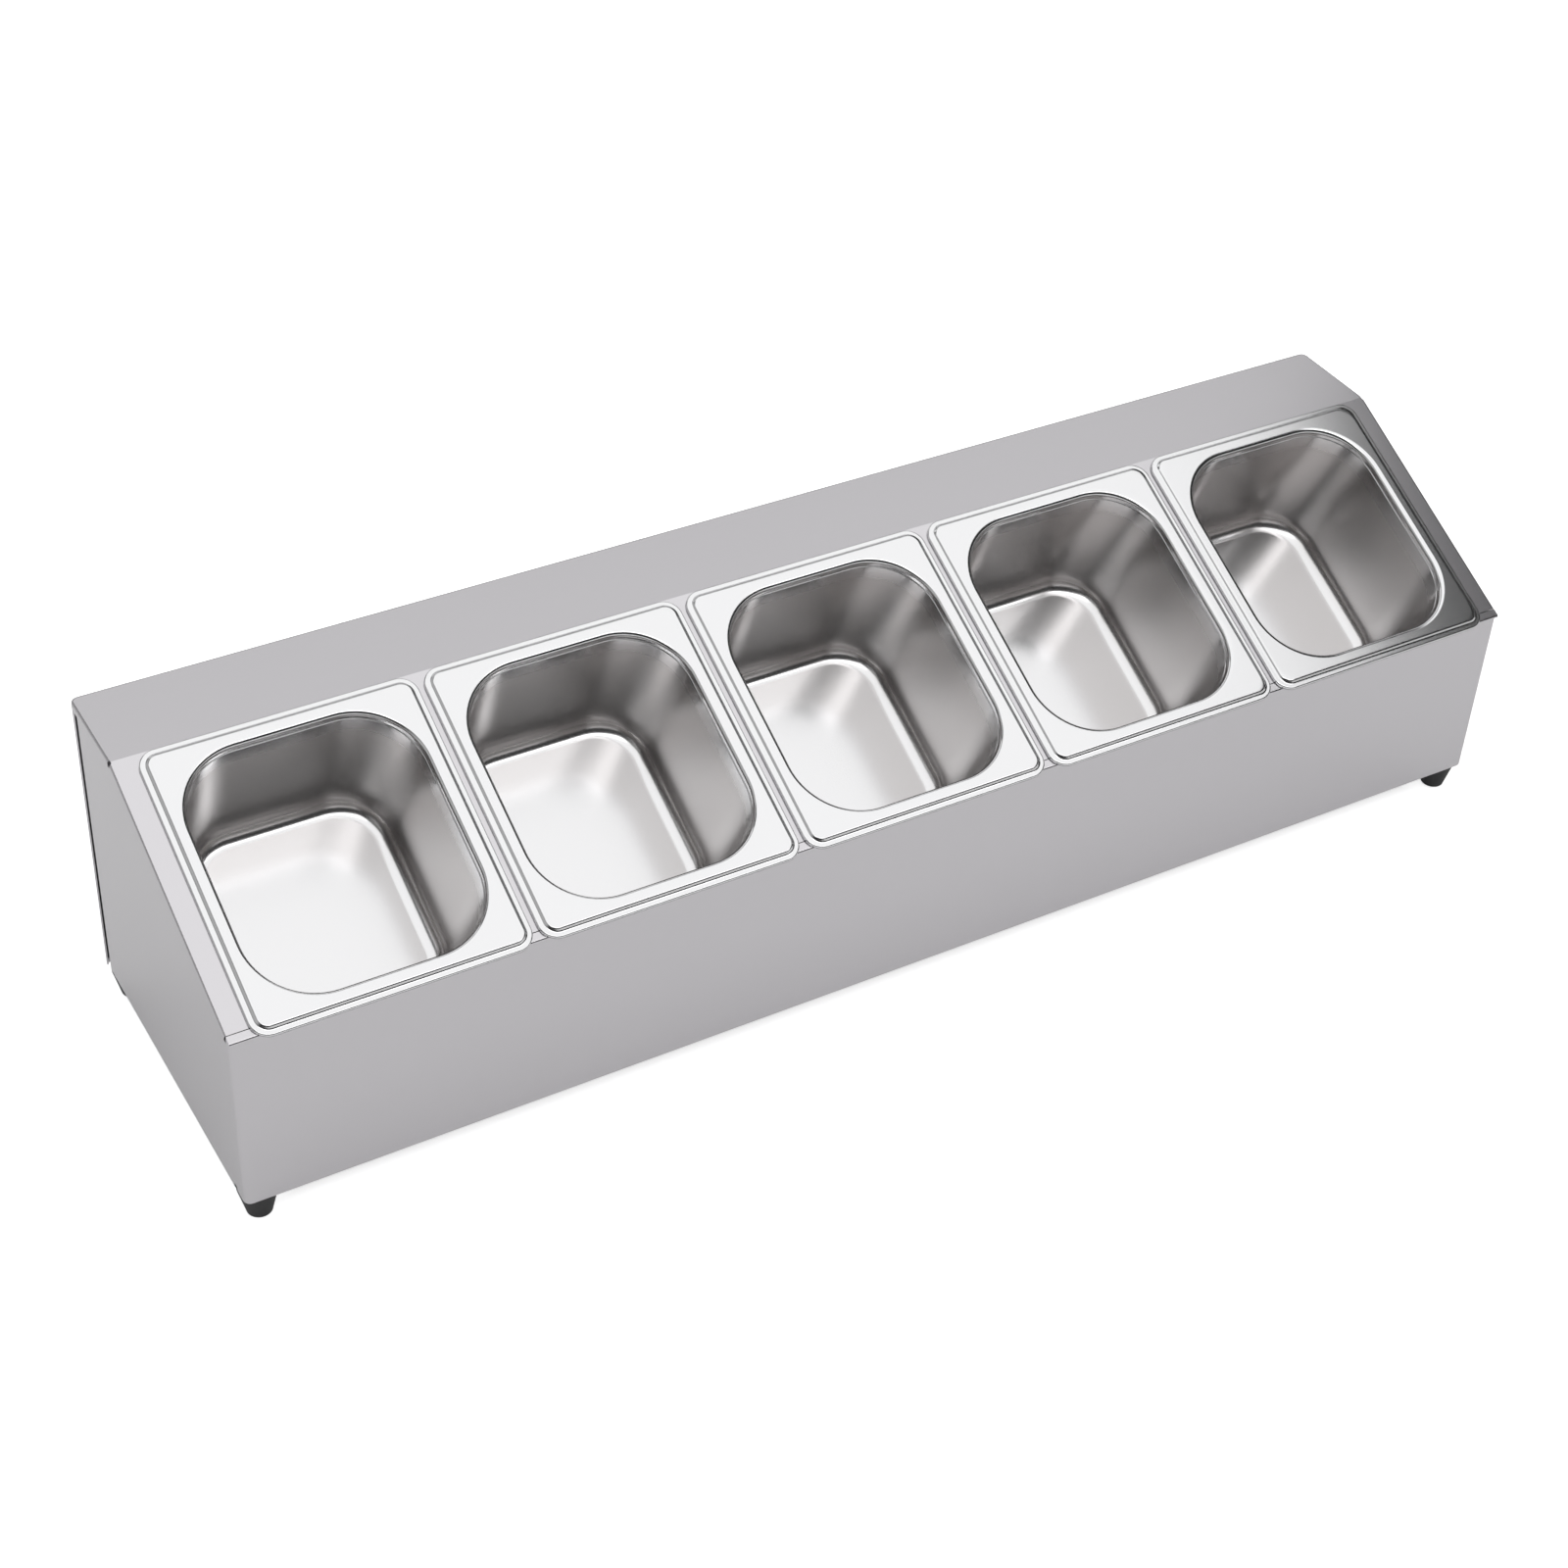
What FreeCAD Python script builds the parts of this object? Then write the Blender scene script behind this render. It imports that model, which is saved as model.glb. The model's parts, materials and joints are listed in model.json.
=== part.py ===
import FreeCAD, Part
import math
import os
import re
import Sketcher

# Counter box for spices and toppings: a bent sheet casing with a flat shelf at the back and a sloping
# face, five lift-out sixth-size gastronorm pans in the slope, and four screwed-on rubber feet.
# Millimetres and degrees. X runs along the box, the front faces -Y, and Z = 0 is the worktop.

doc = FreeCAD.newDocument("SpiceBox")

# Driving sizes
SIZES = [
    ("length", 852, "casing, end to end"),
    ("depth", 220, "casing, front to back"),
    ("back_height", 195, "bottom edge of the sheet to the shelf"),
    ("front_height", 121, "bottom edge of the sheet to the front of the slope"),
    ("shelf", 63, "depth of the flat shelf"),
    ("sheet", 1, "thickness of the casing sheet"),
    ("bend", 3, "outside radius of the casing's bends"),
    ("lip", 5, "height of the turned-down lips of the cover"),
    ("seam", 0.4, "gap between the cover's lips and the wrap below them"),
    ("tuck", 0.25, "gap between the cover's lips and the tongue behind them"),
    ("back_lip", 3.5, "depth of the side lips of the back"),
    ("back_gap", 1.5, "open gap between the back's lips and the end walls"),
    ("flange", 24, "width of the inward flanges along the bottom"),
    ("flange_room", 0.5, "room between the back's flange and the bends of the end walls"),
    ("notch_place", 14, "front face to the middle of a corner notch"),
    ("notch_width", 3.6, "width of the notch that frees the corner of the bottom bends"),
    ("notch_height", 4, "height of that notch"),
    ("slit", 0.9, "width of the slit between the lips of shelf and slope"),
    ("pan_count", 5, "pans side by side"),
    ("end_room", 11.5, "end of the casing to the space that the pans share"),
    ("rim_gap", 3.8, "between the rims of two pans"),
    ("pan_offset", 1.9, "pans down the slope from its middle"),
    ("pan_length", 176, "pan rim, along the slope"),
    ("pan_depth", 95, "top of the rim to the underside of the pan"),
    ("pan_sheet", 0.7, "thickness of the pan sheet"),
    ("pan_seat", 0.2, "edge of the rim above the slope"),
    ("rim_corner", 11, "corner radius of the rim"),
    ("rim_band", 4.2, "width of the low outer band of the rim"),
    ("band_height", 2.3, "top of the outer band above the slope"),
    ("rim_height", 3.9, "top of the flange above the slope"),
    ("rim_edge", 0.8, "bevel along the turned-down edge"),
    ("step_edge", 0.8, "bevel along the step from band to flange"),
    ("rim_sides", 12.2, "width of the rim at the pan's sides"),
    ("rim_ends", 12.7, "width of the rim at the pan's front and rear"),
    ("mouth_corner", 40, "corner radius of the mouth"),
    ("mouth_bend", 2, "radius from flange to well"),
    ("collar", 5, "depth of the straight collar under the flange"),
    ("shoulder", 0.9, "ledge below the collar, for stacking"),
    ("draft", 4.6, "slant of the pan's walls"),
    ("floor_bend", 10, "radius from floor to wall"),
    ("cut_gap", 1.3, "room round a pan in its cut-out"),
    ("foot_height", 19, "rubber foot"),
    ("foot_top", 23, "diameter of the foot against the casing"),
    ("foot_tip", 14, "diameter of the foot at the worktop"),
    ("foot_edge", 1.6, "bevel round the foot's lower edge"),
    ("foot_inset", 12, "middle of a foot to the casing's outer faces"),
    ("foot_grip", 6, "rubber between the washer and the casing"),
    ("screw", 4, "diameter of the foot screws"),
    ("screw_room", 0.25, "room round a screw in its holes"),
    ("thread_room", 0.05, "room round a screw in its nut"),
    ("screw_end", 1.5, "screw past its nut"),
    ("head_width", 7.6, "screw head"),
    ("head_height", 2.6, "screw head"),
    ("head_edge", 1.2, "bevel round the screw head"),
    ("head_room", 0.3, "room round the washer in the foot's recess"),
    ("slot_width", 1.2, "cross recess of the screw head"),
    ("slot_length", 4.4, "cross recess of the screw head"),
    ("slot_depth", 1.5, "cross recess of the screw head"),
    ("washer", 8, "diameter of the washers"),
    ("washer_thickness", 0.8, "washer"),
    ("nut_width", 7, "nut across its flats"),
    ("nut_height", 3.2, "nut"),
]

# Sizes that follow from them
DERIVED = {
    "slope_angle": "atan((back_height - front_height) / (depth - shelf))",
    "joggle": "sheet + tuck",
    "ledge": "lip + seam",
    "wall_rear": "depth / 2 - back_lip - back_gap",
    "pan_pitch": "(length - 2 * end_room) / pan_count",
    "pan_width": "pan_pitch - rim_gap",
    "mouth_width": "pan_width - 2 * rim_sides",
    "mouth_length": "pan_length - 2 * rim_ends",
    "pan_y": "-shelf / 2 - pan_offset * cos(slope_angle)",
    "pan_z": "(back_height + front_height) / 2 - pan_offset * sin(slope_angle)",
    "rim_front": "pan_y - pan_length / 2 * cos(slope_angle) - (band_height - rim_edge) * sin(slope_angle)",
    "middle": "-(rim_front + depth / 2) / 2",
    "floor_z": "rim_height - pan_depth",
    "ledge_z": "rim_height - collar",
    "foot_x": "length / 2 - foot_inset",
    "foot_y": "depth / 2 - foot_inset",
    "recess": "washer / 2 + head_room",
    "screw_hole": "screw / 2 + screw_room",
    "washer_z": "foot_height - foot_grip - washer_thickness",
}

sheet = doc.addObject("Spreadsheet::Sheet", "Sizes")
for row, (alias, size, note) in enumerate(SIZES, start=1):
    sheet.set("A%d" % row, str(size))
    sheet.setAlias("A%d" % row, alias)
    sheet.set("B%d" % row, note)
doc.recompute()
NAMES = {alias for alias, size, note in SIZES}


# Expressions and values

def formula(text):
    def word(match):
        name = match.group(0)
        if name in NAMES:
            return "Sizes." + name
        if name in DERIVED:
            return "(" + formula(DERIVED[name]) + ")"
        return name
    return re.sub(r"[a-z_]+", word, str(text))


def value(text):
    found = sheet.evalExpression(formula(text))
    return float(getattr(found, "Value", found))


def bind(thing, prop, text):
    thing.setExpression(prop, formula(text))


# Sketches

def new_sketch(body, name, plane, lift="0", turn="0", shift=("0", "0")):
    # lift is along the plane's normal; turn tips the sketch about its own X axis
    sketch = body.newObject("Sketcher::SketchObject", name)
    origin = [item for item in body.Origin.OriginFeatures if item.Role == plane][0]
    sketch.AttachmentSupport = [(origin, "")]
    sketch.MapMode = "FlatFace"
    sketch.AttachmentOffset = FreeCAD.Placement(
        FreeCAD.Vector(value(shift[0]), value(shift[1]), value(lift)),
        FreeCAD.Rotation(FreeCAD.Vector(1, 0, 0), value(turn)))
    bind(sketch, "AttachmentOffset.Base.x", shift[0])
    bind(sketch, "AttachmentOffset.Base.y", shift[1])
    bind(sketch, "AttachmentOffset.Base.z", lift)
    if turn != "0":
        bind(sketch, "AttachmentOffset.Rotation.Angle", turn)
    return sketch


def place_point(sketch, geometry, end, across, up):
    # ties one end of a line to its distances from the sketch's origin
    for kind, axis, text in (("DistanceX", -2, across), ("DistanceY", -1, up)):
        if str(text) == "0":
            sketch.addConstraint(Sketcher.Constraint("PointOnObject", geometry, end, axis))
            continue
        number = sketch.addConstraint(Sketcher.Constraint(kind, -1, 1, geometry, end, value(text)))
        bind(sketch, "Constraints[%d]" % number, text)


def add_polygon(sketch, corners):
    points = [FreeCAD.Vector(value(across), value(up), 0) for across, up in corners]
    first = sketch.GeometryCount
    count = len(points)
    for index in range(count):
        sketch.addGeometry(Part.LineSegment(points[index], points[(index + 1) % count]))
    for index in range(count):
        after = first + (index + 1) % count
        sketch.addConstraint(Sketcher.Constraint("Coincident", first + index, 2, after, 1))
    for index, (across, up) in enumerate(corners):
        place_point(sketch, first + index, 1, across, up)
    return sketch


def add_circle(sketch, across, up, diameter):
    centre = FreeCAD.Vector(value(across), value(up), 0)
    circle = Part.Circle(centre, FreeCAD.Vector(0, 0, 1), value(diameter) / 2)
    index = sketch.addGeometry(circle)
    place_point(sketch, index, 3, across, up)
    number = sketch.addConstraint(Sketcher.Constraint("Diameter", index, value(diameter)))
    bind(sketch, "Constraints[%d]" % number, diameter)
    return sketch


def add_rounded_rectangle(sketch, width, length, radius):
    # four lines joined by four tangent quarter circles, centred on the sketch's origin
    side, end, arc = value(width) / 2, value(length) / 2, value(radius)
    inner, outer = side - arc, end - arc
    up = FreeCAD.Vector(0, 0, 1)
    corners = [(inner, -outer, -90), (inner, outer, 0), (-inner, outer, 90), (-inner, -outer, 180)]
    lines = [((-inner, -end), (inner, -end)), ((side, -outer), (side, outer)),
             ((inner, end), (-inner, end)), ((-side, outer), (-side, -outer))]
    for start, stop in lines:
        sketch.addGeometry(Part.LineSegment(FreeCAD.Vector(*start, 0), FreeCAD.Vector(*stop, 0)))
    for x, y, turn in corners:
        circle = Part.Circle(FreeCAD.Vector(x, y, 0), up, arc)
        begin = math.radians(turn)
        quarter = math.pi / 2
        sketch.addGeometry(Part.ArcOfCircle(circle, begin, begin + quarter))
    for index in range(4):
        sketch.addConstraint(Sketcher.Constraint("Tangent", index, 2, 4 + index, 1))
        sketch.addConstraint(Sketcher.Constraint("Tangent", 4 + index, 2, (index + 1) % 4, 1))
        sketch.addConstraint(Sketcher.Constraint(("Horizontal", "Vertical")[index % 2], index))
    for index in range(5, 8):
        sketch.addConstraint(Sketcher.Constraint("Equal", 4, index))
    number = sketch.addConstraint(Sketcher.Constraint("Radius", 4, value(radius)))
    bind(sketch, "Constraints[%d]" % number, radius)
    halves = (("DistanceY", 0, "-(%s) / 2" % length), ("DistanceX", 1, "(%s) / 2" % width),
              ("DistanceY", 2, "(%s) / 2" % length), ("DistanceX", 3, "-(%s) / 2" % width))
    for kind, line, text in halves:
        number = sketch.addConstraint(Sketcher.Constraint(kind, -1, 1, line, 1, value(text)))
        bind(sketch, "Constraints[%d]" % number, text)
    return sketch


# Features

def extrude(body, kind, sketch, length, both=False, backwards=False, taper="0"):
    feature = body.newObject("PartDesign::" + kind, sketch.Name + kind)
    feature.Profile = sketch
    bind(feature, "Length", length)
    feature.SideType = "Symmetric" if both else "One side"
    feature.Reversed = backwards
    if taper != "0":
        bind(feature, "TaperAngle", taper)
    finish(body, feature)
    return feature


def finish(body, feature):
    body.Tip = feature
    doc.recompute()


def pick(items, kind, test):
    return ["%s%d" % (kind, index) for index, item in enumerate(items, start=1) if test(item)]


def same(one, other):
    return abs(one - other) < 0.01


def level(item, height):
    box = item.BoundBox
    return same(box.ZMin, height) and same(box.ZMax, height)


def within(item, width, length):
    box = item.BoundBox
    return max(-box.XMin, box.XMax) < width / 2 + 0.01 and max(-box.YMin, box.YMax) < length / 2 + 0.01


def round_edges(body, name, radius, test):
    base = body.Tip
    feature = body.newObject("PartDesign::Fillet", name)
    feature.Base = (base, pick(base.Shape.Edges, "Edge", test))
    bind(feature, "Radius", radius)
    finish(body, feature)
    return feature


def bevel_edges(body, name, size, test):
    base = body.Tip
    feature = body.newObject("PartDesign::Chamfer", name)
    feature.Base = (base, pick(base.Shape.Edges, "Edge", test))
    bind(feature, "Size", size)
    finish(body, feature)
    return feature


def hollow(body, name, thickness, test):
    # leaves a skin inside the outer faces and takes away the faces that the test names
    base = body.Tip
    feature = body.newObject("PartDesign::Thickness", name)
    feature.Base = (base, pick(base.Shape.Faces, "Face", test))
    bind(feature, "Value", thickness)
    feature.Reversed = True
    feature.Join = "Intersection"
    finish(body, feature)
    return feature


def take_away(body, tool):
    feature = body.newObject("PartDesign::Boolean", tool.Name + "_Cut")
    feature.Type = "Cut"
    feature.setObjects([tool])
    finish(body, feature)
    return feature


def new_body(label):
    body = doc.addObject("PartDesign::Body", label)
    body.Label = label
    return body


def stand(body, across="0", along="0", height="0"):
    bind(body, "Placement.Base.x", across)
    bind(body, "Placement.Base.y", "(%s) + middle" % along)
    bind(body, "Placement.Base.z", height)


CORNERS = [("front_left", -1, -1), ("front_right", 1, -1), ("rear_left", -1, 1), ("rear_right", 1, 1)]


def sign_of(number, text):
    return text if number > 0 else "-(%s)" % text


# Casing

def side_profile(inset, front, rear, foot):
    # outline of the casing's end, moved in from the shelf and slope, the front, and the rear
    return [
        ("-depth / 2 + %s" % front, foot),
        ("-depth / 2 + %s" % front,
         "front_height + (%s * sin(slope_angle) - %s) / cos(slope_angle)" % (front, inset)),
        ("depth / 2 - shelf + %s * tan(slope_angle / 2)" % inset, "back_height - %s" % inset),
        (rear, "back_height - %s" % inset),
        (rear, foot),
    ]


def add_foot_holes(body, rows):
    sketch = new_sketch(body, body.Name + "HolePlan", "XY_Plane", "-sheet")
    for name, across, along in CORNERS:
        if along in rows:
            add_circle(sketch, sign_of(across, "foot_x"), sign_of(along, "foot_y"), "2 * screw_hole")
    extrude(body, "Pocket", sketch, "4 * sheet", backwards=True)


def upright(edge, side, face):
    # an edge that stands at one of the front corners
    box = edge.BoundBox
    return (same(max(-box.XMin, box.XMax), side) and same(box.YMin, face) and same(box.YMax, face)
            and box.ZLength > 1)


def make_wrap(label, inset, skin, rear, foot):
    # front and ends up to the ledge, and the tongue above it, rounded at corners and bottom bends
    body = new_body(label)
    wall = new_sketch(body, label + "_Wall", "YZ_Plane")
    add_polygon(wall, side_profile("(ledge + %s)" % skin, skin, rear, foot))
    extrude(body, "Pad", wall, "length - 2 * %s" % skin, both=True)
    tongue = new_sketch(body, label + "_Tongue", "YZ_Plane")
    add_polygon(tongue, side_profile(inset, "(joggle + %s)" % skin, rear, "bend + sheet"))
    extrude(body, "Pad", tongue, "length - 2 * (joggle + %s)" % skin, both=True)
    half, front = value("length / 2 - %s" % skin), value("-depth / 2 + %s" % skin)
    step, low, back = value("joggle"), value(foot), value(rear)
    round_edges(body, label + "_Corners", "bend - %s" % skin, lambda edge: upright(edge, half, front))
    round_edges(body, label + "_TongueCorners", "bend - joggle - %s" % skin,
                lambda edge: upright(edge, half - step, front + step))
    round_edges(body, label + "_BottomBend", "bend - %s" % skin,
                lambda edge: level(edge, low) and not same(edge.BoundBox.YMin, back))
    return body


def make_body_shell():
    # front and ends in one wrap, with a tongue that stands behind the cover's lips
    body = make_wrap("body_shell", "(bend)", "0", "wall_rear", "0")
    take_away(body, make_wrap("wrap_core", "(joggle - 2 * sheet)", "sheet", "depth / 2", "sheet"))
    opening = new_sketch(body, "BottomOpening", "XY_Plane", "-sheet")
    add_polygon(opening, [("-length / 2 + flange", "-depth / 2 + flange"),
                          ("length / 2 - flange", "-depth / 2 + flange"),
                          ("length / 2 - flange", "depth / 2"), ("-length / 2 + flange", "depth / 2")])
    extrude(body, "Pocket", opening, "3 * sheet", backwards=True)
    notches = new_sketch(body, "CornerNotches", "XY_Plane", "-sheet")
    for side in (-1, 1):
        near, far = sign_of(side, "length / 2 - bend"), sign_of(side, "length / 2 + sheet")
        low = "-depth / 2 + notch_place - notch_width / 2"
        high = "-depth / 2 + notch_place + notch_width / 2"
        add_polygon(notches, [(near, low), (far, low), (far, high), (near, high)])
    extrude(body, "Pocket", notches, "notch_height + sheet", backwards=True)
    add_foot_holes(body, (-1, 1))
    stand(body, height="foot_height")
    return body


def round_cover(body, label, skin):
    # every bend of the cover, or of the core inside it, at one radius
    front = value("-depth / 2 + %s" % skin)
    rear, top = value("depth / 2 - %s" % skin), value("back_height - %s" % skin)
    corner = value("front_height + (%s * sin(slope_angle) - %s) / cos(slope_angle)" % (skin, skin))
    slant, lip = value("tan(slope_angle)"), value("lip")

    def outside(edge):
        ends = [vertex.Point for vertex in edge.Vertexes]
        for point in ends:
            on_top = same(point.z, min(top, corner + (point.y - front) * slant))
            if not (on_top or same(point.y, front) or same(point.y, rear)):
                return False
        free = same(ends[0].y, front) and all(point.z < corner - lip / 2 for point in ends)
        return not free

    round_edges(body, label + "_Bends", "bend - %s" % skin, outside)


def make_top_cover():
    # back, shelf, slope and front lip in one bent sheet, with lips turned down round its ends
    body = new_body("top_cover")
    band = new_sketch(body, "BandProfile", "YZ_Plane")
    outer = side_profile("0", "0", "depth / 2", "sheet")
    inner = side_profile("lip", "0", "depth / 2 - back_lip", "sheet")
    add_polygon(band, outer[1:] + inner[:0:-1])
    extrude(body, "Pad", band, "length", both=True)
    round_cover(body, "cover", "0")
    core = new_body("cover_core")
    room = new_sketch(core, "CoreProfile", "YZ_Plane")
    add_polygon(room, side_profile("sheet", "sheet", "depth / 2 - sheet", "2 * sheet"))
    extrude(core, "Pad", room, "length - 2 * sheet", both=True)
    round_cover(core, "core", "sheet")
    take_away(body, core)
    for side in (-1, 1):
        slit = new_sketch(body, "LipSlit" + "LR"[side > 0], "YZ_Plane", sign_of(side, "length / 2 - bend"))
        crease, slant = "depth / 2 - shelf", "(lip + seam) * tan(slope_angle / 2)"
        upper, lower = "back_height + sheet", "back_height - lip - seam"
        add_polygon(slit, [(crease + " - slit / 2", upper), (crease + " + slit / 2", upper),
                           (crease + " + slit / 2 + " + slant, lower),
                           (crease + " - slit / 2 + " + slant, lower)])
        extrude(body, "Pocket", slit, "bend + sheet", backwards=side > 0)
    fold = new_sketch(body, "BackFlange", "XY_Plane", "sheet")
    reach = "length / 2 - bend - flange_room"
    add_polygon(fold, [("-(%s)" % reach, "depth / 2 - flange"), (reach, "depth / 2 - flange"),
                       (reach, "depth / 2 - bend"), ("-(%s)" % reach, "depth / 2 - bend")])
    extrude(body, "Pad", fold, "sheet")
    add_foot_holes(body, (1,))
    cut = new_sketch(body, "PanCut", "XY_Plane", "pan_z", "slope_angle",
                     ("-(pan_count - 1) / 2 * pan_pitch", "pan_y"))
    around = "2 * (pan_sheet + cut_gap)"
    add_rounded_rectangle(cut, "mouth_width + " + around, "mouth_length + " + around,
                          "mouth_corner + pan_sheet + cut_gap")
    first = extrude(body, "Pocket", cut, "6 * sheet", both=True)
    row = body.newObject("PartDesign::LinearPattern", "PanCuts")
    row.Originals = [first]
    row.Direction = (cut, ["H_Axis"])
    bind(row, "Length", "(pan_count - 1) * pan_pitch")
    bind(row, "Occurrences", "pan_count")
    finish(body, row)
    stand(body, height="foot_height")
    return body


# Pans

def make_pan(number):
    # drawn from one sheet: rim with a low outer band, collar, stacking ledge, tapered well
    label = "pan_%d" % number
    body = new_body(label)
    band = new_sketch(body, label + "_Band", "XY_Plane", "pan_seat")
    add_rounded_rectangle(band, "pan_width", "pan_length", "rim_corner")
    extrude(body, "Pad", band, "band_height - pan_seat")
    top = value("band_height")
    bevel_edges(body, label + "_RimEdge", "rim_edge", lambda edge: level(edge, top))
    raised = new_sketch(body, label + "_Flange", "XY_Plane", "band_height")
    add_rounded_rectangle(raised, "pan_width - 2 * rim_band", "pan_length - 2 * rim_band",
                          "rim_corner - rim_band")
    extrude(body, "Pad", raised, "rim_height - band_height")
    crown = value("rim_height")
    bevel_edges(body, label + "_StepEdge", "step_edge", lambda edge: level(edge, crown))
    seat = value("pan_seat")
    hollow(body, label + "_RimSheet", "pan_sheet", lambda face: level(face, seat))

    def well(name, kind, grow, start, length, taper="0"):
        plan = new_sketch(body, label + "_" + name, "XY_Plane", start)
        add_rounded_rectangle(plan, "mouth_width + 2 * (%s)" % grow,
                              "mouth_length + 2 * (%s)" % grow, "mouth_corner + %s" % grow)
        down = kind == "Pad"
        return extrude(body, kind, plan, length, backwards=down, taper=taper)

    well("CollarOut", "Pad", "pan_sheet", "rim_height", "collar + pan_sheet")
    well("WellOut", "Pad", "pan_sheet - shoulder", "ledge_z", "pan_depth - collar", "-draft")
    well("CollarIn", "Pocket", "0", "rim_height", "collar")
    well("WellIn", "Pocket", "-shoulder", "ledge_z", "pan_depth - collar - pan_sheet", "-draft")
    inside, bottom = value("floor_z + pan_sheet"), value("floor_z")
    round_edges(body, label + "_FloorRound", "floor_bend", lambda edge: level(edge, inside))
    round_edges(body, label + "_BaseRound", "floor_bend + pan_sheet", lambda edge: level(edge, bottom))
    width, length, skin = value("mouth_width"), value("mouth_length"), value("pan_sheet")
    bevel_edges(body, label + "_UnderBend", "mouth_bend / 2",
                lambda edge: level(edge, crown - skin) and within(edge, width + 2 * skin, length + 2 * skin))
    round_edges(body, label + "_MouthRound", "mouth_bend",
                lambda edge: level(edge, crown) and within(edge, width, length))
    across = "(%d - (pan_count + 1) / 2) * pan_pitch" % number
    body.Placement = FreeCAD.Placement(FreeCAD.Vector(0, 0, 0),
                                       FreeCAD.Rotation(FreeCAD.Vector(1, 0, 0), value("slope_angle")))
    bind(body, "Placement.Rotation.Angle", "slope_angle")
    stand(body, across, "pan_y", "pan_z + foot_height")
    return body


# Feet and their fasteners

def make_foot(name, across, along):
    # tapered rubber foot, turned about its own axis, with a stepped hole for screw and washer
    body = new_body("foot_" + name)
    half = new_sketch(body, name + "_FootProfile", "XZ_Plane")
    add_polygon(half, [("recess", "0"), ("foot_tip / 2", "0"), ("foot_top / 2", "foot_height"),
                       ("screw_hole", "foot_height"), ("screw_hole", "foot_height - foot_grip"),
                       ("recess", "foot_height - foot_grip")])
    turn = body.newObject("PartDesign::Revolution", name + "_FootTurn")
    turn.Profile = half
    turn.ReferenceAxis = (half, ["V_Axis"])
    turn.Angle = 360
    finish(body, turn)
    tip = value("foot_tip / 2")
    bevel_edges(body, name + "_FootEdge", "foot_edge",
                lambda edge: level(edge, 0) and same(edge.BoundBox.XMax, tip))
    stand(body, sign_of(across, "foot_x"), sign_of(along, "foot_y"))
    return body


def repeat_at_corners(body, axes, rows):
    # copies the whole piece along the box and, where both rows of feet are meant, across it
    grid = body.newObject("PartDesign::LinearPattern", body.Name + "_Grid")
    grid.TransformMode = "Whole shape"
    grid.Direction = (axes, ["H_Axis"])
    bind(grid, "Length", "2 * foot_x")
    grid.Occurrences = 2
    grid.Direction2 = (axes, ["V_Axis"])
    bind(grid, "Length2", "2 * foot_y")
    grid.Occurrences2 = rows
    finish(body, grid)


def make_washers():
    body = new_body("foot_washers")
    ring = new_sketch(body, "WasherPlan", "XY_Plane")
    add_circle(ring, "0", "0", "washer")
    add_circle(ring, "0", "0", "2 * screw_hole")
    extrude(body, "Pad", ring, "washer_thickness")
    repeat_at_corners(body, ring, 2)
    stand(body, "-foot_x", "-foot_y", "washer_z")
    return body


def make_screws():
    # round head with a cross recess, below the washer, and a plain shank up through the nut
    body = new_body("foot_screws")
    plan = new_sketch(body, "HeadPlan", "XY_Plane")
    add_circle(plan, "0", "0", "head_width")
    extrude(body, "Pad", plan, "head_height", backwards=True)
    low = value("-head_height")
    bevel_edges(body, "HeadEdge", "head_edge", lambda edge: level(edge, low))
    stem = new_sketch(body, "ShankPlan", "XY_Plane")
    add_circle(stem, "0", "0", "screw")
    extrude(body, "Pad", stem, "washer_thickness + foot_grip + 2 * sheet + nut_height + screw_end")
    cross = new_sketch(body, "CrossPlan", "XY_Plane", "-head_height")
    wide, long = "slot_width / 2", "slot_length / 2"
    arms = [(wide, long), (wide, wide), (long, wide)]
    outline = []
    for across, up in ((1, 1), (1, -1), (-1, -1), (-1, 1)):
        corner = [(sign_of(across, x), sign_of(up, y)) for x, y in arms]
        outline += corner if across == up else corner[::-1]
    add_polygon(cross, outline)
    extrude(body, "Pocket", cross, "slot_depth", backwards=True)
    repeat_at_corners(body, plan, 2)
    stand(body, "-foot_x", "-foot_y", "washer_z")
    return body


def make_nuts(label, along, layers):
    body = new_body(label)
    plan = new_sketch(body, label + "_Plan", "XY_Plane")
    half, point = "nut_width / 2", "nut_width / sqrt(3)"
    add_polygon(plan, [(point, "0"), ("(%s) / 2" % point, half), ("-(%s) / 2" % point, half),
                       ("-(%s)" % point, "0"), ("-(%s) / 2" % point, "-" + half),
                       ("(%s) / 2" % point, "-" + half)])
    add_circle(plan, "0", "0", "screw + 2 * thread_room")
    extrude(body, "Pad", plan, "nut_height")
    repeat_at_corners(body, plan, 1)
    stand(body, "-foot_x", sign_of(along, "foot_y"), "foot_height + %d * sheet" % layers)
    return body


pieces = [make_body_shell(), make_top_cover()]
for number in range(1, int(value("pan_count")) + 1):
    pieces.append(make_pan(number))
for name, across, along in CORNERS:
    pieces.append(make_foot(name, across, along))
pieces += [make_washers(), make_screws(), make_nuts("front_nuts", -1, 1), make_nuts("rear_nuts", 1, 2)]
doc.recompute()

# Every object has to be sound before anything is written
failed = [item.Name for item in doc.Objects if "Invalid" in item.State or "Error" in item.State]
for piece in pieces:
    if piece.Shape.isNull() or not piece.Shape.isValid() or not piece.Shape.Solids:
        failed.append(piece.Label)
if failed:
    raise RuntimeError("not built: " + ", ".join(failed))

os.makedirs("parts", exist_ok=True)
for piece in pieces:
    piece.Shape.exportStep("parts/%s.step" % piece.Label)
    box = piece.Shape.BoundBox
    print("%-16s solids %d  volume %9.1f  x %7.1f..%7.1f  y %7.1f..%7.1f  z %6.1f..%6.1f" % (
        piece.Label, len(piece.Shape.Solids), piece.Shape.Volume,
        box.XMin, box.XMax, box.YMin, box.YMax, box.ZMin, box.ZMax))
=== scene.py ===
import json
import math

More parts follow.
